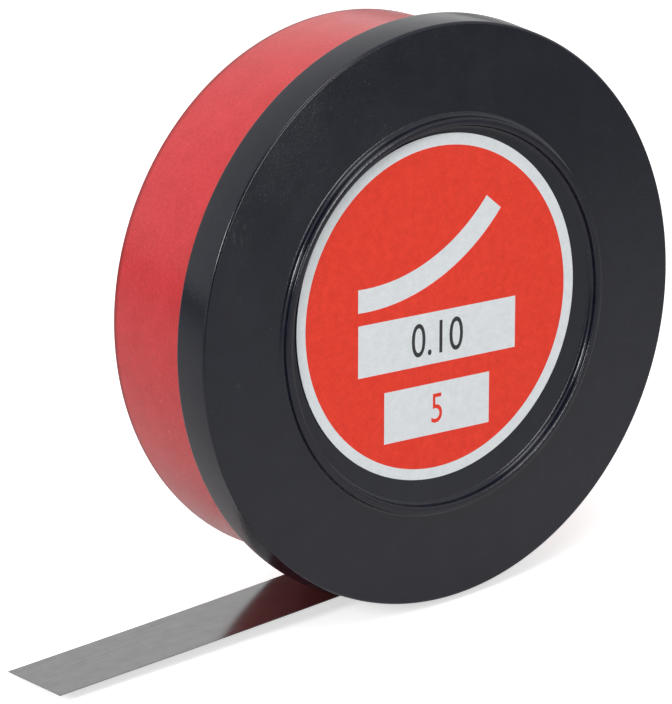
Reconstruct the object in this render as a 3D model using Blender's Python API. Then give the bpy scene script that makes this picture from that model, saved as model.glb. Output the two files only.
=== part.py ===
"""Shim stock roll: five metres of steel strip in a round two-part case, its free end out of a window.

The case's axis lies along Y, with the lid in front at -Y and X to the right.
Every piece hangs from one empty at the centre of the case's flat back, which is the origin.
That empty leans the roll back onto its wide lid and the narrower back rim, as it stands on a table.
"""
import math

import bmesh
import bpy
from mathutils import Vector

# Strip
STRIP_WIDTH = 0.0127
STRIP_THICKNESS = 0.0001
STRIP_LENGTH = 5.0
STRIP_SKIRT_GAP = 0.00045
TAIL_REACH = 0.06525

# Red cup
CUP_RADIUS = 0.04015
CUP_WALL = 0.0013
CUP_FLOOR = 0.0016
BACK_ROOM = 0.0053
CORE_WALL = 0.0015
COIL_PLAY = 0.00556

# Black lid: how far it stands out past the cup, and the half-round bead on its face, whose middle
# is placed by its share of the cup's radius
LID_STEP = 0.00195
SKIRT_FLARE = 0.0005
LID_SKIRT_DEPTH = 0.00575
LID_PLATE = 0.0016
BEAD_SHARE = 0.7044
BEAD_RADIUS = 0.00118
LID_COLLAR_WALL = 0.0012
COLLAR_GAP = 0.0018

# Label: narrower than the field inside the bead, and pushed off centre as far as the bead lets it
LABEL_MARGIN = 0.00205
LABEL_THICKNESS = 0.0001
LABEL_SHIFT_ANGLE = math.radians(126.2)

# Clearances and edges
FIT_GAP = 0.0003
COIL_GAP = 0.0002
LABEL_GAP = 0.0001
LIP_GAP = 0.00012
SLOT_GAP = 0.0005
EDGE_RADIUS = 0.0004
INNER_EDGE_RADIUS = 0.0002

# Facets
CASE_FACETS = 84
ARC_STEPS = 2
BEAD_STEPS = 8
WINDOW_STEPS = 6
LABEL_STEPS = 72

# Depths that follow, from the lid's front face at 0 to the case's back
STRIP_FRONT_EDGE = LID_SKIRT_DEPTH + STRIP_SKIRT_GAP
STRIP_BACK_EDGE = STRIP_FRONT_EDGE + STRIP_WIDTH
CASE_DEPTH = STRIP_BACK_EDGE + BACK_ROOM
FLOOR_FACE = CASE_DEPTH - CUP_FLOOR
CUP_RIM = LID_PLATE + FIT_GAP
COLLAR_END = STRIP_FRONT_EDGE - COLLAR_GAP

# Radii that follow from the cup's
LID_FRONT_RADIUS = CUP_RADIUS + LID_STEP
LID_SKIRT_RADIUS = LID_FRONT_RADIUS + SKIRT_FLARE
BEAD_MIDDLE = CUP_RADIUS * BEAD_SHARE
FIELD_RADIUS = BEAD_MIDDLE - BEAD_RADIUS
LABEL_RADIUS = FIELD_RADIUS - LABEL_MARGIN
LABEL_SHIFT = LABEL_MARGIN - LABEL_GAP
CUP_INNER_RADIUS = CUP_RADIUS - CUP_WALL
COIL_RADIUS = CUP_INNER_RADIUS - COIL_GAP
LEAN = math.atan2(LID_SKIRT_RADIUS - CUP_RADIUS, CASE_DEPTH - LID_SKIRT_DEPTH)

# The tail's tip lies on the table that the lid's skirt and the cup's back edge stand on
STAND_HEIGHT = ((LID_SKIRT_RADIUS - EDGE_RADIUS) * math.cos(LEAN)
                - (CASE_DEPTH - LID_SKIRT_DEPTH + EDGE_RADIUS) * math.sin(LEAN) + EDGE_RADIUS)
TAIL_LEVEL = (STAND_HEIGHT + (CASE_DEPTH - STRIP_BACK_EDGE) * math.sin(LEAN)) / math.cos(LEAN)

# The tail is a tangent of the coil's outer turn that passes through its own tip
TIP_DISTANCE = math.hypot(TAIL_REACH, TAIL_LEVEL)
TAIL_LENGTH = math.sqrt(TIP_DISTANCE ** 2 - COIL_RADIUS ** 2)
TAIL_ROOT_ANGLE = math.atan2(-TAIL_LEVEL, -TAIL_REACH) + math.atan2(TAIL_LENGTH, COIL_RADIUS)

# The rest of the strip fills the coil from its outer turn inwards, and the cup's core stays clear of it
COIL_BORE = math.sqrt(COIL_RADIUS ** 2 - (STRIP_LENGTH - TAIL_LENGTH) * STRIP_THICKNESS / math.pi)
CORE_RADIUS = COIL_BORE - COIL_PLAY


def rounded(corners):
    """A closed outline of (radius, y, fillet) corners, each fillet drawn as an arc."""
    points = []
    for i, (x, y, fillet) in enumerate(corners):
        here = Vector((x, y))
        if fillet == 0:
            points.append(here)
            continue
        before = (Vector(corners[i - 1][:2]) - here).normalized()
        after = (Vector(corners[(i + 1) % len(corners)][:2]) - here).normalized()
        half = before.angle(after) / 2
        centre = here + (before + after).normalized() * fillet / math.sin(half)
        start = here + before * fillet / math.tan(half) - centre
        sweep = start.angle_signed(here + after * fillet / math.tan(half) - centre)
        for step in range(ARC_STEPS + 1):
            angle = -sweep * step / ARC_STEPS
            turned = Vector((start.x * math.cos(angle) - start.y * math.sin(angle),
                             start.x * math.sin(angle) + start.y * math.cos(angle)))
            points.append(centre + turned)
    return points


def material(name, color, roughness, metallic=0.0):
    """A Principled material with the piece's own colour and gloss."""
    made = bpy.data.materials.new(name)
    made.use_nodes = True
    shader = made.node_tree.nodes["Principled BSDF"]
    shader.inputs["Base Color"].default_value = (*color, 1.0)
    shader.inputs["Roughness"].default_value = roughness
    shader.inputs["Metallic"].default_value = metallic
    return made


def add_object(name, bm, finish, parent):
    """Put a finished bmesh in the scene, shaded smooth up to its sharp edges."""
    bmesh.ops.recalc_face_normals(bm, faces=bm.faces)
    mesh = bpy.data.meshes.new(name)
    bm.to_mesh(mesh)
    bm.free()
    mesh.shade_smooth()
    mesh.set_sharp_from_angle(angle=math.radians(30))
    mesh.materials.append(finish)
    made = bpy.data.objects.new(name, mesh)
    bpy.context.collection.objects.link(made)
    made.parent = parent
    return made


def turned(corners, facets):
    """Spin a closed outline round the Y axis, with the middle of a facet straight below."""
    bm = bmesh.new()
    first = -math.pi / 2 + math.pi / facets
    verts = []
    for point in rounded(corners):
        verts.append(bm.verts.new((point.x * math.cos(first), point.y, point.x * math.sin(first))))
    edges = [bm.edges.new((verts[i - 1], verts[i])) for i in range(len(verts))]
    on_axis = [edge for edge in edges if all(vert.co.xz.length < INNER_EDGE_RADIUS for vert in edge.verts)]
    bmesh.ops.delete(bm, geom=on_axis, context="EDGES")
    profile = list(bm.verts) + list(bm.edges)
    bmesh.ops.spin(bm, geom=profile, cent=(0, 0, 0), axis=(0, 1, 0), angle=math.tau, steps=facets,
                   use_merge=True)
    bmesh.ops.remove_doubles(bm, verts=bm.verts, dist=1e-7)
    return bm


def thicken(bm, depth):
    """Give the faces of a flat outline in the XZ plane a depth along Y."""
    extruded = bmesh.ops.extrude_face_region(bm, geom=bm.faces[:], use_keep_orig=True)
    moved = [item for item in extruded["geom"] if isinstance(item, bmesh.types.BMVert)]
    bmesh.ops.translate(bm, verts=moved, vec=(0, depth, 0))


def make_lid(parent):
    """Front plate with a half-round bead round the label's field, an outer skirt and a collar in the cup."""
    skirt_bore = CUP_RADIUS + FIT_GAP
    collar_radius = CUP_INNER_RADIUS - FIT_GAP
    bead = []
    for step in range(BEAD_STEPS + 1):
        angle = math.pi * step / BEAD_STEPS
        bead.append((BEAD_MIDDLE - BEAD_RADIUS * math.cos(angle), -BEAD_RADIUS * math.sin(angle), 0))
    corners = [
        (0, 0, 0),
        *bead,
        (LID_FRONT_RADIUS, 0, EDGE_RADIUS),
        (LID_SKIRT_RADIUS, LID_SKIRT_DEPTH, EDGE_RADIUS),
        (skirt_bore, LID_SKIRT_DEPTH, INNER_EDGE_RADIUS),
        (skirt_bore, LID_PLATE, 0),
        (collar_radius, LID_PLATE, 0),
        (collar_radius, COLLAR_END, INNER_EDGE_RADIUS),
        (collar_radius - LID_COLLAR_WALL, COLLAR_END, INNER_EDGE_RADIUS),
        (collar_radius - LID_COLLAR_WALL, LID_PLATE, 0),
        (0, LID_PLATE, 0),
    ]
    black = material("lid_black", (0.030, 0.032, 0.040), 0.45)
    return add_object("lid", turned(corners, CASE_FACETS), black, parent)


def make_slot_cutter(parent):
    """A ring sector that cuts the strip's window through the cup's wall, with radial lips."""
    inner = CUP_INNER_RADIUS - SLOT_GAP
    outer = CUP_RADIUS + SLOT_GAP
    lower_lip = math.acos(COIL_RADIUS / (CUP_INNER_RADIUS - LIP_GAP))
    upper_lip = math.acos((COIL_RADIUS - STRIP_THICKNESS) / outer)
    front = STRIP_FRONT_EDGE - SLOT_GAP
    back = STRIP_BACK_EDGE + SLOT_GAP
    bm = bmesh.new()
    rings = []
    for step in range(WINDOW_STEPS + 1):
        angle = TAIL_ROOT_ANGLE - lower_lip - (upper_lip - lower_lip) * step / WINDOW_STEPS
        ring = [(radius * math.cos(angle), y, radius * math.sin(angle))
                for radius, y in ((inner, front), (outer, front), (outer, back), (inner, back))]
        rings.append([bm.verts.new(point) for point in ring])
    for one, two in zip(rings, rings[1:]):
        for i in range(4):
            bm.faces.new((one[i - 1], one[i], two[i], two[i - 1]))
    bm.faces.new(rings[0])
    bm.faces.new(rings[-1])
    cutter = add_object("strip_window_cutter", bm, material("cutter", (0.5, 0.5, 0.5), 0.5), parent)
    cutter.hide_render = True
    cutter.display_type = "WIRE"
    return cutter


def make_cup(parent):
    """Red back half: floor, outer wall and the core wall that the coil lies round."""
    corners = [
        (0, FLOOR_FACE, 0),
        (CORE_RADIUS - CORE_WALL, FLOOR_FACE, 0),
        (CORE_RADIUS - CORE_WALL, CUP_RIM, INNER_EDGE_RADIUS),
        (CORE_RADIUS, CUP_RIM, INNER_EDGE_RADIUS),
        (CORE_RADIUS, FLOOR_FACE, 0),
        (CUP_INNER_RADIUS, FLOOR_FACE, EDGE_RADIUS),
        (CUP_INNER_RADIUS, CUP_RIM, INNER_EDGE_RADIUS),
        (CUP_RADIUS, CUP_RIM, INNER_EDGE_RADIUS),
        (CUP_RADIUS, CASE_DEPTH, EDGE_RADIUS),
        (0, CASE_DEPTH, 0),
    ]
    red = material("cup_red", (0.60, 0.075, 0.080), 0.40)
    cup = add_object("cup", turned(corners, CASE_FACETS), red, parent)
    window = cup.modifiers.new("strip_window", "BOOLEAN")
    window.operation = "DIFFERENCE"
    window.solver = "EXACT"
    window.object = make_slot_cutter(parent)
    return cup


def make_label(parent):
    """Round paper label, stuck on off the bead's centre, almost against the bead."""
    front = -LABEL_GAP - LABEL_THICKNESS
    bm = bmesh.new()
    verts = []
    for step in range(LABEL_STEPS):
        angle = math.tau * step / LABEL_STEPS
        verts.append(bm.verts.new((LABEL_SHIFT * math.cos(LABEL_SHIFT_ANGLE) + LABEL_RADIUS * math.cos(angle),
                                   front,
                                   LABEL_SHIFT * math.sin(LABEL_SHIFT_ANGLE) + LABEL_RADIUS * math.sin(angle))))
    bm.faces.new(verts)
    thicken(bm, LABEL_THICKNESS)
    red = material("label_print", (0.80, 0.055, 0.030), 0.50)
    return add_object("label", bm, red, parent)


def make_strip(parent):
    """One length of steel: the turns of the coil as a ring, and the tail that runs out to its tip."""
    join = math.acos(1 - STRIP_THICKNESS / COIL_RADIUS)
    sweep = math.tau - join
    outline = []
    inner = []
    for step in range(CASE_FACETS + 1):
        angle = TAIL_ROOT_ANGLE + sweep * step / CASE_FACETS
        outline.append((COIL_RADIUS * math.cos(angle), COIL_RADIUS * math.sin(angle)))
        inner.append((COIL_BORE * math.cos(angle), COIL_BORE * math.sin(angle)))
    along = Vector((math.sin(TAIL_ROOT_ANGLE), -math.cos(TAIL_ROOT_ANGLE)))
    inward = Vector((-math.cos(TAIL_ROOT_ANGLE), -math.sin(TAIL_ROOT_ANGLE)))
    root = Vector(outline[0])
    tip = root + along * TAIL_LENGTH
    tail = [tip, tip + inward * STRIP_THICKNESS]

    bm = bmesh.new()
    outer_verts = [bm.verts.new((x, STRIP_FRONT_EDGE, z)) for x, z in outline]
    inner_verts = [bm.verts.new((x, STRIP_FRONT_EDGE, z)) for x, z in inner]
    tail_verts = [bm.verts.new((point.x, STRIP_FRONT_EDGE, point.y)) for point in tail]
    count = len(outer_verts)
    for i in range(count):
        after = (i + 1) % count
        bm.faces.new((outer_verts[i], outer_verts[after], inner_verts[after], inner_verts[i]))
    bm.faces.new((outer_verts[0], outer_verts[-1], tail_verts[1], tail_verts[0]))
    thicken(bm, STRIP_WIDTH)
    steel = material("strip_steel", (0.45, 0.45, 0.45), 0.22, 1.0)
    return add_object("steel_strip", bm, steel, parent)


def make_roll():
    """The whole roll, leaning back as it stands."""
    for old in list(bpy.data.objects):
        bpy.data.objects.remove(old)
    stand = bpy.data.objects.new("stand", None)
    bpy.context.collection.objects.link(stand)
    stand.rotation_euler = (-LEAN, 0, 0)
    case = bpy.data.objects.new("case_axis", None)
    bpy.context.collection.objects.link(case)
    case.parent = stand
    case.location = (0, -CASE_DEPTH, 0)
    make_lid(case)
    make_cup(case)
    make_strip(case)
    make_label(case)


make_roll()
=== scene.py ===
"""Looks of the shim stock roll: moulded plastic case, printed label and bright steel strip."""
import math

import bmesh
import bpy
from mathutils import Matrix, Vector


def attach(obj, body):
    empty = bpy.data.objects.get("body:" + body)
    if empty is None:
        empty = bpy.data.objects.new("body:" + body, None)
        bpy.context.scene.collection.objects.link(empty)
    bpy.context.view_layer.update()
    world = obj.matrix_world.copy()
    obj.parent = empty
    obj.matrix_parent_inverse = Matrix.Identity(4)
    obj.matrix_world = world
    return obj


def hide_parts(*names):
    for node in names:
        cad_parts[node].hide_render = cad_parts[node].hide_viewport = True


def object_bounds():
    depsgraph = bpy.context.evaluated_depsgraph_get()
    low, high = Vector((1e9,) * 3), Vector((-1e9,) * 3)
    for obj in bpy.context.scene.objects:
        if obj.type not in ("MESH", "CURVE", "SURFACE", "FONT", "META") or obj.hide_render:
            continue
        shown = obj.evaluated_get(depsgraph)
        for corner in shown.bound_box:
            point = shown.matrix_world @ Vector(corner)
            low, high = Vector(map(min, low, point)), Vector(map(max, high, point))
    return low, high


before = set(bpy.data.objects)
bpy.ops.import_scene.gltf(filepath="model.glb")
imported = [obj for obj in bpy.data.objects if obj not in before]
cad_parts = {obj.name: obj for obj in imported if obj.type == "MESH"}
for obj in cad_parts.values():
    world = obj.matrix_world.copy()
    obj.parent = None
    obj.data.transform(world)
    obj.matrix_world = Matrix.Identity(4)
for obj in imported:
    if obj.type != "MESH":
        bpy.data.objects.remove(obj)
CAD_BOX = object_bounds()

MM = 0.001

# Sizes of the solids, in the roll's own coordinates: its axis along Y, the lid's face at y = 0
STRIP_WIDTH = 12.7 * MM
STRIP_THICKNESS = 0.10 * MM
STRIP_LENGTH = 5.0
STRIP_FRONT_EDGE = 6.2 * MM
CUP_RADIUS = 40.15 * MM
CUP_WALL = 1.3 * MM
CUP_FLOOR = 1.6 * MM
CASE_DEPTH = 24.2 * MM
CORE_RADIUS = 31.0 * MM
CORE_WALL = 1.5 * MM
LID_FRONT_RADIUS = 42.1 * MM
LID_SKIRT_RADIUS = 42.6 * MM
LID_SKIRT_DEPTH = 5.75 * MM
LID_PLATE = 1.6 * MM
COLLAR_END = 4.4 * MM
COLLAR_WALL = 1.2 * MM
FIT_GAP = 0.3 * MM
COIL_GAP = 0.2 * MM
LIP_GAP = 0.12 * MM
SLOT_GAP = 0.5 * MM
LABEL_GAP = 0.1 * MM
EDGE_RADIUS = 0.4 * MM
FINE_EDGE = 0.2 * MM

CUP_INNER_RADIUS = CUP_RADIUS - CUP_WALL
CUP_RIM = LID_PLATE + FIT_GAP
FLOOR_FACE = CASE_DEPTH - CUP_FLOOR
STRIP_BACK_EDGE = STRIP_FRONT_EDGE + STRIP_WIDTH
COIL_RADIUS = CUP_INNER_RADIUS - COIL_GAP

# The strip's turns, and its tail's sag: its most, the share of the tail over which it sets in,
# and the power that moves its peak nearer the tip or the case
TURN_PITCH = 0.104 * MM
TAIL_SAG = 0.33 * MM
SAG_ONSET = 0.12
SAG_POWER = 0.7

# The bead's section: its flanks, how high they and the crown's apex stand, and the radii of the
# crown, of the edges beside it and of the hollow feet
BEAD_RADII = (27.55 * MM, 28.7 * MM)
BEAD_SHOULDER = 1.07 * MM
BEAD_HEIGHT = 1.18 * MM
BEAD_CROWN = 1.8 * MM
BEAD_EDGE = 0.22 * MM
BEAD_FOOT = 0.72 * MM

# Label: its place inside the bead, its turn, and the thicknesses of paper, bevel and ink
LABEL_RADIUS = 25.05 * MM
LABEL_THICKNESS = 0.1 * MM
LABEL_CENTRE = Vector((-1.15 * MM, 1.57 * MM))
LABEL_TURN = math.radians(-4.0)
PAPER_BEVEL = 0.02 * MM
INK = 0.008 * MM
PAPER_FRONT = -LABEL_GAP - LABEL_THICKNESS
INK_FRONT = PAPER_FRONT - INK

# The print in the label's own plane: red disc, two fields (left, low, right, high), curved band
PRINT_RADIUS = 23.41 * MM
PRINT_CENTRE = (-0.116 * MM, -0.027 * MM)
BIG_FIELD = (-14.25 * MM, -8.1 * MM, 14.25 * MM, -0.5 * MM)
SMALL_FIELD = (-9.55 * MM, -18.5 * MM, 9.55 * MM, -10.95 * MM)
BAND_CENTRE = (-13.0 * MM, 32.78 * MM)
BAND_RADII = (28.06 * MM, 31.45 * MM)
BAND_LEFT = -14.28 * MM
BAND_END = math.radians(-39.2)
BIG_FIGURES = 4.9 * MM
SMALL_FIGURES = 4.3 * MM
FIGURE_NARROWING = 0.80

# Fineness of the meshes: steps, the angle from which an edge is sharp, the decimals by which the
# strip's tip is told, and the distances within which points are one
ROUND_STEPS = 288
ARC_STEPS = 8
TURN_STEP = math.radians(2.5)
TAIL_STEPS = 96
CUTTER_STEPS = 12
PAPER_STEPS = 360
PRINT_STEPS = 180
BAND_STEPS = 48
FIGURE_CURVE_STEPS = 6
SHARP_ANGLE = math.radians(35)
TIP_DECIMALS = 5
WELD = 1e-7
FIGURE_WELD = 1e-6

# Moulded plastics: deep and light tone, scuffed tone, roughness and index of refraction
LID_TONES = ((0.0018, 0.0026, 0.0086), (0.0070, 0.0084, 0.0178))
LID_SCUFFED = (0.10, 0.105, 0.12)
LID_GLOSS = (0.14, 1.44)
CUP_TONES = ((0.57, 0.025, 0.029), (0.69, 0.041, 0.047))
CUP_SCUFFED = (0.78, 0.30, 0.30)
CUP_GLOSS = (0.24, 1.41)

# How far before the cup's back edge its dark line of painted shade starts
CUP_EDGE_SHADE_LINE = 1.2 * MM

# What both plastics share: how much of the blotches is coarse, the weight of the coarse grain,
# the spread of roughness, how much marks tint and roughen, and the part of a scuff's reach
# within which it is full
BLOTCH_SHARE = 0.35
COARSE_GRAIN = 1.2
GLOSS_SPREAD = 0.05
MARK_TINT = 0.55
MARK_ROUGHNESS = 0.12
SCUFF_CORE = 0.4

# Scuffed places: place and reach in millimetres, and strength
LID_SCUFFS = (
    ((-34.3, 0, 20.0), 2.4, 0.6),
    ((-35.3, 0, 18.5), 1.1, 0.5),
    ((-35.5, 0, 10.5), 0.7, 0.5),
    ((-36.7, 0, -1.8), 0.9, 0.5),
    ((-25.8, 0, 14.3), 0.7, 0.5),
    ((22.3, 0, -25.8), 0.6, 0.5),
    ((-11.2, 0, -24.8), 0.5, 0.8),
    ((-28.6, -0.8, -4.6), 0.7, 1.0),
)
CUP_SCUFFS = (((-40.1, 9.2, 2.5), 0.7, 0.8),)

# Paper and inks: deep and light tone, range of roughness, index of refraction, and how much of
# their unevenness is coarse
PAPER_TONES = ((0.77, 0.815, 0.84), (0.88, 0.915, 0.935))
PAPER_ROUGHNESS = (0.51, 0.60)
RED_INK_TONES = ((0.80, 0.024, 0.005), (0.95, 0.046, 0.014))
RED_INK_ROUGHNESS = (0.48, 0.57)
BLACK_INK_TONES = ((0.006, 0.007, 0.009), (0.016, 0.017, 0.020))
BLACK_INK_ROUGHNESS = (0.41, 0.50)
PAPER_IOR = 1.45
PRESS_SHARE = 0.5

# Rolled steel: deep and light tone, range of roughness, how metallic it is, how much of its tone
# is lines, and the tone of the painted shade along its long edges, and where it starts and is
# full, in from each edge
STEEL_TONES = ((0.185, 0.184, 0.190), (0.262, 0.257, 0.256))
STEEL_ROUGHNESS = (0.11, 0.17)
STEEL_METALLIC = 0.9
LINE_SHARE = 0.6
STRIP_EDGE_SHADE_TONE = (0.17, 0.168, 0.165)
STRIP_EDGE_SHADE_STARTS = 0.22 * MM
STRIP_EDGE_SHADE_FULL = 0.05 * MM

# Floor: half its side, the tones that the camera and reflections see near the roll and far off,
# which paint a pool of light brighter near the roll, the metres over which the one fades into the
# other, its faint clouds, the tone that lights the roll, its roughness, and the light that it
# adds for the camera
FLOOR_SIZE = 6.0
FLOOR_POOL_NEAR = (0.96, 0.96, 0.96)
FLOOR_POOL_FAR = (0.56, 0.56, 0.56)
FLOOR_POOL_FADE = (0.06, 0.50)
FLOOR_CLOUDS = 0.05
FLOOR_DIFFUSE = (0.36, 0.36, 0.36)
FLOOR_ROUGHNESS = 0.9
FLOOR_LIFT = 0.60
WHITE = (1, 1, 1, 1)

# Surroundings: their fill on the roll, and a dim patch in reflections: its direction, the angles
# inside which it is full and outside which it is gone, and the brightness left in it
WORLD_FILL = 0.52
DIM_TOWARDS = Vector((-0.44, -0.82, 0.36))
DIM_INNER = math.radians(14)
DIM_OUTER = math.radians(30)
DIM_LEVEL = 0.0

# Lamps, all aimed at the origin: place, width in metres, watts
LAMPS = {
    "softbox_left": (Vector((-0.86, -0.28, 0.48)), 0.30, 4.2),
    "softbox_right": (Vector((0.38, -0.95, 0.10)), 0.24, 1.2),
    "softbox_top": (Vector((-0.10, -0.30, 0.95)), 0.60, 3.0),
}

# The photograph's view: its height and the focal length in pixels, the rest in Blender's units
PHOTO_HEIGHT = 704
CAMERA_FOCAL_PX = 4800
CAMERA_SENSOR = 36.0
CAMERA_CLIP = 20
CAMERA_PLACE = Vector((-401.143, -501.65, 271.571)) * MM
CAMERA_AIM = Vector((-13.167, -16.334, -1.908)) * MM
CAMERA_ROLL = math.radians(-1.774)

# Sockets of Blender's Mix node when it mixes colours
MIX_SHARE = 0
MIX_ONE = 6
MIX_TWO = 7
MIX_RESULT = 2

# The roll leans back onto its wide lid and the back rim: its own coordinates in the world
LEAN = math.atan2(LID_SKIRT_RADIUS - CUP_RADIUS, CASE_DEPTH - LID_SKIRT_DEPTH)
STAND = Matrix.Rotation(-LEAN, 4, "X") @ Matrix.Translation((0, -CASE_DEPTH, 0))


def tail_tip():
    """The strip's tip in the XZ plane of the roll's own coordinates, read from the solid."""
    to_roll = STAND.inverted()
    points = [to_roll @ vert.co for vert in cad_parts["steel_strip"].data.vertices]
    tip = min(points, key=lambda point: (round(point.x, TIP_DECIMALS), point.z))
    return Vector((tip.x, tip.z))


# The tail is a tangent of the coil's outer turn, which it leaves at the root angle
TIP = tail_tip()
TAIL_LENGTH = math.sqrt(TIP.length_squared - COIL_RADIUS ** 2)
ROOT_ANGLE = math.atan2(TIP.y, TIP.x) + math.atan2(TAIL_LENGTH, COIL_RADIUS)


def at_depth(point, y):
    """A point of the XZ plane, so far back along the case's axis."""
    return (point.x, y, point.y)


def rounded(corners):
    """A closed outline of (radius, y, fillet) corners, each fillet drawn as an arc."""
    points = []
    for i, (x, y, fillet) in enumerate(corners):
        here = Vector((x, y))
        if fillet == 0:
            points.append(here)
            continue
        before = (Vector(corners[i - 1][:2]) - here).normalized()
        after = (Vector(corners[(i + 1) % len(corners)][:2]) - here).normalized()
        half = before.angle(after) / 2
        centre = here + (before + after).normalized() * fillet / math.sin(half)
        start = here + before * fillet / math.tan(half) - centre
        sweep = start.angle_signed(here + after * fillet / math.tan(half) - centre)
        for step in range(ARC_STEPS + 1):
            points.append(centre + Matrix.Rotation(-sweep * step / ARC_STEPS, 2) @ start)
    return points


def turned(corners):
    """Spin a closed outline round the Y axis."""
    bm = bmesh.new()
    verts = [bm.verts.new((point.x, point.y, 0)) for point in rounded(corners)]
    edges = [bm.edges.new((verts[i - 1], verts[i])) for i in range(len(verts))]
    on_axis = [edge for edge in edges if all(vert.co.x < FINE_EDGE / 2 for vert in edge.verts)]
    bmesh.ops.delete(bm, geom=on_axis, context="EDGES")
    bmesh.ops.spin(bm, geom=list(bm.verts) + list(bm.edges), cent=(0, 0, 0), axis=(0, 1, 0),
                   angle=math.tau, steps=ROUND_STEPS, use_merge=True)
    bmesh.ops.remove_doubles(bm, verts=bm.verts, dist=WELD)
    return bm


def lofted(outlines):
    """Skin a row of closed outlines, with a cap at each end."""
    bm = bmesh.new()
    rings = [[bm.verts.new(point) for point in outline] for outline in outlines]
    for one, two in zip(rings, rings[1:]):
        for i in range(len(one)):
            bm.faces.new((one[i - 1], one[i], two[i], two[i - 1]))
    bm.faces.new(rings[0])
    bm.faces.new(rings[-1])
    return bm


def thickened(bm, depth):
    """Give flat faces a depth along the case's axis."""
    made = bmesh.ops.extrude_face_region(bm, geom=bm.faces[:], use_keep_orig=True)
    moved = [item for item in made["geom"] if isinstance(item, bmesh.types.BMVert)]
    bmesh.ops.translate(bm, verts=moved, vec=(0, depth, 0))
    return bm


def link(name, data):
    """A new object of the scene."""
    made = bpy.data.objects.new(name, data)
    bpy.context.collection.objects.link(made)
    return made


def link_mesh(name, bm):
    """A new object of the scene from a finished mesh."""
    mesh = bpy.data.meshes.new(name)
    bm.to_mesh(mesh)
    bm.free()
    return link(name, mesh)


def evaluated_mesh(made):
    """The mesh that an object's modifiers or its text make."""
    bpy.context.view_layer.update()
    depsgraph = bpy.context.evaluated_depsgraph_get()
    return bpy.data.meshes.new_from_object(made.evaluated_get(depsgraph))


def add_piece(name, bm, finish, body, replaces=()):
    """Put a mesh made in the roll's own coordinates in the world, on its body."""
    bmesh.ops.recalc_face_normals(bm, faces=bm.faces)
    piece = link_mesh(name, bm)
    piece.data.shade_smooth()
    piece.data.set_sharp_from_angle(angle=SHARP_ANGLE)
    piece.data.materials.append(finish)
    piece.matrix_world = STAND
    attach(piece, body)
    if replaces:
        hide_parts(*replaces)
    return piece


class Nodes:
    """The node tree of a material, or of the world, built by short calls."""

    def __init__(self, name, world=None):
        self.material = world or bpy.data.materials.new(name)
        self.material.use_nodes = True
        self.tree = self.material.node_tree
        self.shader = self.tree.nodes.get("Principled BSDF")
        self.place = self.add("ShaderNodeTexCoord").outputs["Generated" if world else "Object"]

    def add(self, kind, inputs=(), **settings):
        """A node with its settings, and its inputs by name or number."""
        node = self.tree.nodes.new(kind)
        for key, value in settings.items():
            setattr(node, key, value)
        for key, value in dict(inputs).items():
            self.put(node.inputs[key], value)
        return node

    def put(self, socket, value):
        """Link another node's output to a socket, or set the socket's own value."""
        if isinstance(value, bpy.types.NodeSocket):
            self.tree.links.new(value, socket)
        else:
            socket.default_value = value

    def reckon(self, operation, *values):
        return self.add("ShaderNodeMath", enumerate(values), operation=operation).outputs[0]

    def measure(self, operation, *vectors):
        made = self.add("ShaderNodeVectorMath", enumerate(vectors), operation=operation)
        return made.outputs["Value"]

    def times(self, one, two):
        return self.reckon("MULTIPLY", one, two)

    def plus(self, one, two):
        return self.reckon("ADD", one, two)

    def blend(self, one, two, share):
        """So large a share of one value, and the rest of the other."""
        return self.plus(self.times(one, share), self.times(two, 1 - share))

    def ramp(self, value, low, high, to_low=0.0, to_high=1.0):
        """Map low to high onto to_low to to_high, flat beyond them."""
        made = self.add("ShaderNodeMapRange", {"Value": value, "From Min": low, "From Max": high,
                                               "To Min": to_low, "To Max": to_high})
        return made.outputs["Result"]

    def mix(self, share, one, two):
        """One colour at share 0, the other at share 1."""
        made = self.add("ShaderNodeMix", data_type="RGBA")
        self.put(made.inputs[MIX_SHARE], share)
        for socket, value in ((MIX_ONE, one), (MIX_TWO, two)):
            linked = isinstance(value, bpy.types.NodeSocket)
            self.put(made.inputs[socket], value if linked else (*value, 1.0))
        return made.outputs[MIX_RESULT]

    def depth(self):
        """How far back from the lid's face, along the case's axis."""
        return self.add("ShaderNodeSeparateXYZ", {"Vector": self.place}).outputs["Y"]

    def stretch(self, *scale):
        """The place, scaled along each axis."""
        made = self.add("ShaderNodeMapping", {"Vector": self.place, "Scale": scale})
        return made.outputs["Vector"]

    def noise(self, scale, detail, rough=0.5, place=None):
        """Noise of so many features a metre."""
        made = self.add("ShaderNodeTexNoise", {"Vector": place or self.place, "Scale": scale,
                                               "Detail": detail, "Roughness": rough})
        return made.outputs["Fac"]

    def spots(self, scale, size, place=None):
        """Sparse round spots: 1 inside a spot, 0 outside."""
        cells = self.add("ShaderNodeTexVoronoi", {"Vector": place or self.place, "Scale": scale,
                                                  "Randomness": 1.0})
        return self.ramp(cells.outputs["Distance"], size, size / 2)

    def bump(self, height, distance, strength):
        made = self.add("ShaderNodeBump", {"Height": height, "Distance": distance,
                                           "Strength": strength})
        self.put(self.shader.inputs["Normal"], made.outputs["Normal"])

    def finish(self, color, roughness, **sockets):
        """The material, with its colour, its roughness and other sockets of its shader."""
        self.put(self.shader.inputs["Base Color"], color)
        self.put(self.shader.inputs["Roughness"], roughness)
        for name, value in sockets.items():
            self.shader.inputs[name].default_value = value
        return self.material


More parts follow.
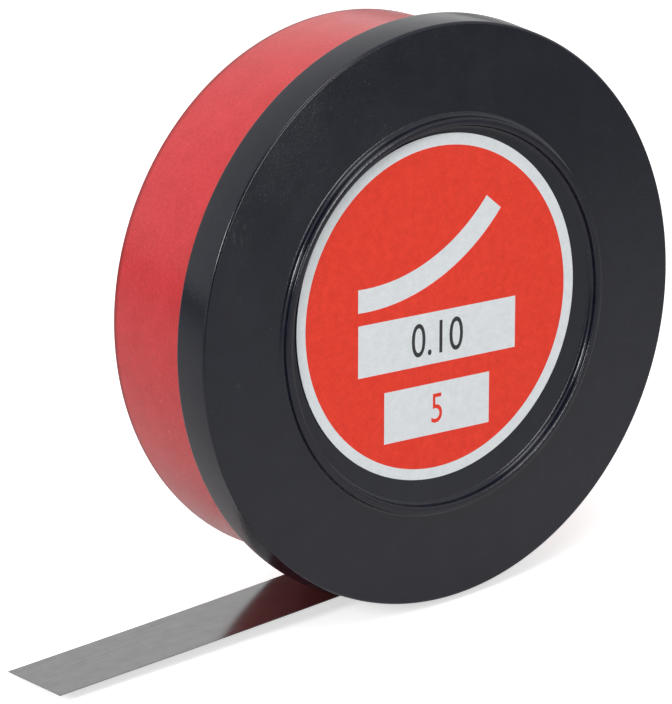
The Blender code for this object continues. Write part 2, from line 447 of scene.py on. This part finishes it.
def moulded_plastic(name, tones, scuffed_tone, gloss, scuffs, painted_shade_edge=None):
    """Satin moulded plastic: blotches, fine grain, pale specks, hairlines and scuffed places.

    A painted shade edge, where one is given, is a darker line of painted shade on the cup's wall,
    just before that depth.
    """
    deep, light = tones
    roughness, ior = gloss
    n = Nodes(name)
    blotches = n.blend(n.noise(scale=260, detail=4, rough=0.6),
                       n.noise(scale=2100, detail=3, rough=0.7), share=BLOTCH_SHARE)
    tone = n.mix(n.ramp(blotches, low=0.38, high=0.62), deep, light)
    # Painted shade: the cup's wall darkens in a line just before its back edge
    if painted_shade_edge is not None:
        cup_edge_shade = n.ramp(n.depth(), painted_shade_edge - CUP_EDGE_SHADE_LINE, painted_shade_edge - CUP_EDGE_SHADE_LINE / 2,
                           to_high=0.85)
        off_axis = n.measure("LENGTH", n.stretch(1, 0, 1))
        on_wall = n.ramp(off_axis, CUP_RADIUS - EDGE_RADIUS, CUP_RADIUS - EDGE_RADIUS / 2)
        tone = n.mix(n.times(cup_edge_shade, on_wall), tone, [part / 2 for part in deep])

    speckled = n.ramp(n.noise(scale=120, detail=2), low=0.52, high=0.62, to_high=0.8)
    specks = n.times(n.spots(scale=900, size=0.10), speckled)
    scratched = n.ramp(n.noise(scale=90, detail=2), low=0.5, high=0.6, to_high=0.5)
    hairlines = n.times(n.spots(scale=160, size=0.035, place=n.stretch(1, 1, 0.12)), scratched)
    marks = n.plus(specks, hairlines)
    worn = n.noise(scale=1500, detail=5, rough=0.7, place=n.stretch(1, 0.6, 0.35))
    rubbed = n.ramp(worn, low=0.50, high=0.75)
    for place, reach, strength in scuffs:
        away = n.measure("DISTANCE", n.place, Vector(place) * MM)
        near = n.ramp(away, reach * MM, reach * MM * SCUFF_CORE, to_high=strength)
        marks = n.plus(marks, n.times(near, rubbed))
    color = n.mix(n.times(marks, MARK_TINT), tone, scuffed_tone)

    cloudy = n.ramp(n.noise(scale=75, detail=4, rough=0.6), low=0.3, high=0.7,
                    to_low=roughness - GLOSS_SPREAD, to_high=roughness + GLOSS_SPREAD)
    grain = n.plus(n.noise(scale=2600, detail=2, rough=0.6),
                   n.times(n.noise(scale=420, detail=3), COARSE_GRAIN))
    n.bump(grain, distance=0.022 * MM, strength=0.8)
    return n.finish(color, n.plus(cloudy, n.times(marks, MARK_ROUGHNESS)), IOR=ior)


def printed_paper(name, tones, roughness):
    """Label stock: paper fibre and the slight unevenness of a printed area."""
    n = Nodes(name)
    press = n.blend(n.noise(scale=700, detail=5, rough=0.65),
                    n.noise(scale=2900, detail=3, rough=0.7), share=PRESS_SHARE)
    color = n.mix(n.ramp(press, low=0.36, high=0.64), *tones)
    fibres = n.noise(scale=4200, detail=3, rough=0.7)
    n.bump(fibres, distance=0.006 * MM, strength=0.35)
    cloudy = n.ramp(n.noise(scale=180, detail=3), 0.3, 0.7, *roughness)
    return n.finish(color, cloudy, IOR=PAPER_IOR)


def rolled_steel(name):
    """Cold rolled strip: fine lines along its length, faint clouds and painted shade along its
    long edges.
    """
    n = Nodes(name)
    lines = n.noise(scale=1, detail=4, rough=0.6, place=n.stretch(60, 9000, 60))
    tone = n.blend(lines, n.noise(scale=420, detail=4, rough=0.65), share=LINE_SHARE)
    color = n.mix(n.ramp(tone, low=0.35, high=0.65), *STEEL_TONES)
    middle = STRIP_FRONT_EDGE + STRIP_WIDTH / 2
    # Painted shade: a darker line along both long edges of the strip
    off_middle = n.reckon("ABSOLUTE", n.plus(n.depth(), -middle))
    strip_edge_shade = n.ramp(off_middle, STRIP_WIDTH / 2 - STRIP_EDGE_SHADE_STARTS, STRIP_WIDTH / 2 - STRIP_EDGE_SHADE_FULL,
                       to_high=0.75)
    color = n.mix(strip_edge_shade, color, STRIP_EDGE_SHADE_TONE)
    n.bump(lines, distance=0.002 * MM, strength=0.5)
    return n.finish(color, n.ramp(tone, 0.3, 0.7, *STEEL_ROUGHNESS), Metallic=STEEL_METALLIC)


BLACK_LID = moulded_plastic("lid_black_moulding", LID_TONES, LID_SCUFFED, LID_GLOSS, LID_SCUFFS)
# The cup's wall gets a line of painted shade just before its back edge
RED_CUP = moulded_plastic("cup_red_moulding", CUP_TONES, CUP_SCUFFED, CUP_GLOSS, CUP_SCUFFS,
                          painted_shade_edge=CASE_DEPTH)
PAPER = printed_paper("label_paper_stock", PAPER_TONES, PAPER_ROUGHNESS)
RED_INK = printed_paper("label_red_ink", RED_INK_TONES, RED_INK_ROUGHNESS)
BLACK_INK = printed_paper("label_black_ink", BLACK_INK_TONES, BLACK_INK_ROUGHNESS)
STEEL = rolled_steel("rolled_steel_strip")


def make_lid():
    """The plate with its raised bead, the flared skirt and the collar."""
    bead_inside, bead_outside = BEAD_RADII
    skirt_bore = CUP_RADIUS + FIT_GAP
    collar_radius = CUP_INNER_RADIUS - FIT_GAP
    collar_bore = collar_radius - COLLAR_WALL
    bm = turned([
        (0, 0, 0),
        (bead_inside, 0, BEAD_FOOT),
        (bead_inside, -BEAD_SHOULDER, BEAD_EDGE),
        ((bead_inside + bead_outside) / 2, -BEAD_HEIGHT, BEAD_CROWN),
        (bead_outside, -BEAD_SHOULDER, BEAD_EDGE),
        (bead_outside, 0, BEAD_FOOT),
        (LID_FRONT_RADIUS, 0, EDGE_RADIUS),
        (LID_SKIRT_RADIUS, LID_SKIRT_DEPTH, EDGE_RADIUS),
        (skirt_bore, LID_SKIRT_DEPTH, FINE_EDGE),
        (skirt_bore, LID_PLATE, 0),
        (collar_radius, LID_PLATE, 0),
        (collar_radius, COLLAR_END, FINE_EDGE),
        (collar_bore, COLLAR_END, FINE_EDGE),
        (collar_bore, LID_PLATE, 0),
        (0, LID_PLATE, 0),
    ])
    add_piece("lid_moulding", bm, BLACK_LID, "root", ["lid"])


def window_cutter():
    """A ring sector that cuts the strip's window through the cup's wall, with radial lips."""
    inner = CUP_INNER_RADIUS - SLOT_GAP
    outer = CUP_RADIUS + SLOT_GAP
    front = STRIP_FRONT_EDGE - SLOT_GAP
    back = STRIP_BACK_EDGE + SLOT_GAP
    section = ((inner, front), (outer, front), (outer, back), (inner, back))
    lower_lip = math.acos(COIL_RADIUS / (CUP_INNER_RADIUS - LIP_GAP))
    upper_lip = math.acos((COIL_RADIUS - STRIP_THICKNESS) / outer)
    outlines = []
    for step in range(CUTTER_STEPS + 1):
        angle = ROOT_ANGLE - lower_lip - (upper_lip - lower_lip) * step / CUTTER_STEPS
        outward = Vector((math.cos(angle), math.sin(angle)))
        outlines.append([at_depth(outward * radius, y) for radius, y in section])
    bm = lofted(outlines)
    bmesh.ops.recalc_face_normals(bm, faces=bm.faces)
    cutter = link_mesh("window_cutter", bm)
    cutter.matrix_world = STAND
    return cutter


def make_cup():
    """The side wall, floor and core ring, with the strip's window cut through the wall."""
    core_bore = CORE_RADIUS - CORE_WALL
    bm = turned([
        (0, FLOOR_FACE, 0),
        (core_bore, FLOOR_FACE, 0),
        (core_bore, CUP_RIM, FINE_EDGE),
        (CORE_RADIUS, CUP_RIM, FINE_EDGE),
        (CORE_RADIUS, FLOOR_FACE, 0),
        (CUP_INNER_RADIUS, FLOOR_FACE, EDGE_RADIUS),
        (CUP_INNER_RADIUS, CUP_RIM, FINE_EDGE),
        (CUP_RADIUS, CUP_RIM, FINE_EDGE),
        (CUP_RADIUS, CASE_DEPTH, EDGE_RADIUS),
        (0, CASE_DEPTH, 0),
    ])
    cup = add_piece("cup_shell", bm, RED_CUP, "root", ["cup"])
    cutter = window_cutter()
    cut = cup.modifiers.new("strip_window", "BOOLEAN")
    cut.operation = "DIFFERENCE"
    cut.object = cutter
    with_window = evaluated_mesh(cup)
    cup.modifiers.clear()
    cup.data = with_window
    bpy.data.objects.remove(cutter)


def make_strip():
    """The whole strip as one ribbon: the turns from the inner end outwards, then the tail."""
    growth = TURN_PITCH / math.tau
    coiled = STRIP_LENGTH - TAIL_LENGTH
    middle = COIL_RADIUS - STRIP_THICKNESS / 2
    sweep = (middle - math.sqrt(middle ** 2 - 2 * growth * coiled)) / growth
    steps = round(sweep / TURN_STEP)
    sections = []
    for step in range(steps, -1, -1):
        turn = sweep * step / steps
        outward = Vector((math.cos(ROOT_ANGLE + turn), math.sin(ROOT_ANGLE + turn)))
        outer = COIL_RADIUS - growth * turn
        sections.append((outward * outer, outward * (outer - STRIP_THICKNESS)))
    outward = Vector((math.cos(ROOT_ANGLE), math.sin(ROOT_ANGLE)))
    along = Vector((outward.y, -outward.x))
    for step in range(1, TAIL_STEPS + 1):
        share = step / TAIL_STEPS
        onset = min(share / SAG_ONSET, 1.0)
        eased = onset ** 2 * (3 - 2 * onset)
        sag = TAIL_SAG * math.sin(math.pi * share ** SAG_POWER) * eased
        outer = outward * (COIL_RADIUS + sag) + along * TAIL_LENGTH * share
        sections.append((outer, outer - outward * STRIP_THICKNESS))
    outlines = [(at_depth(outer, STRIP_FRONT_EDGE), at_depth(outer, STRIP_BACK_EDGE),
                 at_depth(inner, STRIP_BACK_EDGE), at_depth(inner, STRIP_FRONT_EDGE))
                for outer, inner in sections]
    add_piece("steel_ribbon", lofted(outlines), STEEL, "root", ["steel_strip"])


def on_label(point, y):
    """A point of the label's own plane in the roll's own coordinates, at depth y."""
    return at_depth(LABEL_CENTRE + Matrix.Rotation(LABEL_TURN, 2) @ Vector(point), y)


def circle(radius, steps, centre=(0, 0)):
    return [(centre[0] + radius * math.cos(math.tau * i / steps),
             centre[1] + radius * math.sin(math.tau * i / steps)) for i in range(steps)]


def rectangle(left, low, right, high):
    return [(left, low), (right, low), (right, high), (left, high)]


def middle_of(left, low, right, high):
    return ((left + right) / 2, (low + high) / 2)


def curved_band():
    """The bare band over the fields: two arcs about one centre, cut upright at its left end."""
    outline = []
    for radius, way in zip(BAND_RADII, (1, -1)):
        start = -math.acos((BAND_LEFT - BAND_CENTRE[0]) / radius)
        arc = [start + (BAND_END - start) * step / BAND_STEPS for step in range(BAND_STEPS + 1)]
        outline += [(BAND_CENTRE[0] + radius * math.cos(angle),
                     BAND_CENTRE[1] + radius * math.sin(angle)) for angle in arc[::way]]
    return outline


def printed_area(loops):
    """A layer of ink bounded by closed loops, of which all but the first are holes."""
    bm = bmesh.new()
    edges = []
    for loop in loops:
        verts = [bm.verts.new(on_label(point, INK_FRONT)) for point in loop]
        edges += [bm.edges.new((verts[i - 1], verts[i])) for i in range(len(verts))]
    bmesh.ops.triangle_fill(bm, use_beauty=True, use_dissolve=False, edges=edges,
                            normal=(0, -1, 0))
    return thickened(bm, INK)


def printed_number(text, height, centre):
    """A plain number in Blender's own typeface, a little narrow, as a layer of ink."""
    curve = bpy.data.curves.new("number", "FONT")
    curve.body = text
    curve.align_x = "CENTER"
    curve.align_y = "CENTER"
    curve.resolution_u = FIGURE_CURVE_STEPS
    carrier = link("number", curve)
    flat = evaluated_mesh(carrier)
    bpy.data.objects.remove(carrier)
    bm = bmesh.new()
    bm.from_mesh(flat)
    bmesh.ops.remove_doubles(bm, verts=bm.verts, dist=FIGURE_WELD)
    high = max(vert.co.y for vert in bm.verts)
    low = min(vert.co.y for vert in bm.verts)
    scale = height / (high - low)
    for vert in bm.verts:
        x = centre[0] + vert.co.x * scale * FIGURE_NARROWING
        y = centre[1] + (vert.co.y - (high + low) / 2) * scale
        vert.co = on_label((x, y), INK_FRONT)
    return thickened(bm, INK)


def make_label():
    """The paper with its bevelled front edge, the red print and the two numbers."""
    outlines = []
    for inset, depth in ((PAPER_BEVEL, 0), (0, PAPER_BEVEL), (0, LABEL_THICKNESS)):
        edge = circle(LABEL_RADIUS - inset, PAPER_STEPS)
        outlines.append([on_label(point, PAPER_FRONT + depth) for point in edge])
    add_piece("label_paper", lofted(outlines), PAPER, "root", ["label"])

    disc = circle(PRINT_RADIUS, PRINT_STEPS, PRINT_CENTRE)
    red = printed_area([disc, rectangle(*BIG_FIELD), rectangle(*SMALL_FIELD), curved_band()])
    add_piece("label_red_print", red, RED_INK, "root")
    thickness = printed_number("0.10", BIG_FIGURES, middle_of(*BIG_FIELD))
    add_piece("label_thickness_number", thickness, BLACK_INK, "root")
    length = printed_number("5", SMALL_FIGURES, middle_of(*SMALL_FIELD))
    add_piece("label_length_number", length, RED_INK, "root")


def make_stage():
    """Pale floor that runs to the horizon, white to the camera."""
    bm = bmesh.new()
    bmesh.ops.create_grid(bm, x_segments=1, y_segments=1, size=FLOOR_SIZE)
    floor = link_mesh("floor", bm)
    floor.location = (0, 0, CAD_BOX[0].z)
    n = Nodes("floor_pale")
    # Painted pool of light: the tone that the camera and reflections see is brightest near the
    # roll and fades far off
    pool_falloff = n.ramp(n.measure("LENGTH", n.place), *FLOOR_POOL_FADE)
    away = n.plus(pool_falloff, n.times(n.noise(scale=3, detail=2), FLOOR_CLOUDS))
    path = n.add("ShaderNodeLightPath").outputs
    seen = path["Is Camera Ray"]
    shown = n.reckon("MAXIMUM", seen, path["Is Glossy Ray"])
    color = n.mix(shown, FLOOR_DIFFUSE, n.mix(away, FLOOR_POOL_NEAR, FLOOR_POOL_FAR))
    floor.data.materials.append(n.finish(color, FLOOR_ROUGHNESS, **{"Specular IOR Level": 0.0}))
    strength = n.times(seen, FLOOR_LIFT)
    lift = n.add("ShaderNodeEmission", {"Color": WHITE, "Strength": strength})
    both = n.add("ShaderNodeAddShader", {0: n.shader.outputs[0], 1: lift.outputs[0]})
    n.put(n.tree.nodes["Material Output"].inputs["Surface"], both.outputs[0])


def make_world():
    """White surroundings, an even pale fill, and a dim patch to the front left in reflections."""
    world = bpy.data.worlds.new("studio")
    bpy.context.scene.world = world
    n = Nodes("studio", world)
    path = n.add("ShaderNodeLightPath").outputs
    facing = n.measure("DOT_PRODUCT", n.place, DIM_TOWARDS.normalized())
    reflected = n.ramp(facing, math.cos(DIM_OUTER), math.cos(DIM_INNER), 1.0, DIM_LEVEL)
    level = n.plus(n.times(path["Is Glossy Ray"], reflected), path["Is Camera Ray"])
    fill = n.times(path["Is Diffuse Ray"], WORLD_FILL)
    background = n.tree.nodes["Background"].inputs
    n.put(background["Strength"], n.plus(level, fill))
    n.put(background["Color"], WHITE)


def make_lights():
    """A key lamp on the left, a weak one in front on the right, and one overhead."""
    for name, (place, width, power) in LAMPS.items():
        light = bpy.data.lights.new(name, "AREA")
        light.shape = "DISK"
        light.size = width
        light.energy = power
        lamp = link(name, light)
        lamp.location = place
        lamp.rotation_euler = (-place).to_track_quat("-Z", "Y").to_euler()


def make_camera():
    """The photograph's view, fitted to the rims, the label and the strip."""
    data = bpy.data.cameras.new("camera")
    data.sensor_width = CAMERA_SENSOR
    data.lens = CAMERA_SENSOR * CAMERA_FOCAL_PX / PHOTO_HEIGHT
    data.clip_end = CAMERA_CLIP
    camera = link("camera", data)
    look = (CAMERA_AIM - CAMERA_PLACE).normalized()
    right = look.cross(Vector((0, 0, 1))).normalized()
    up = right.cross(look)
    turn = Matrix.Rotation(CAMERA_ROLL, 3, look)
    axes = Matrix((turn @ right, turn @ up, -look)).transposed()
    camera.matrix_world = Matrix.Translation(CAMERA_PLACE) @ axes.to_4x4()
    bpy.context.scene.camera = camera


make_camera()
make_stage()
make_world()
make_lights()
make_lid()
make_cup()
make_strip()
make_label()
bpy.context.scene.view_settings.view_transform = "Standard"
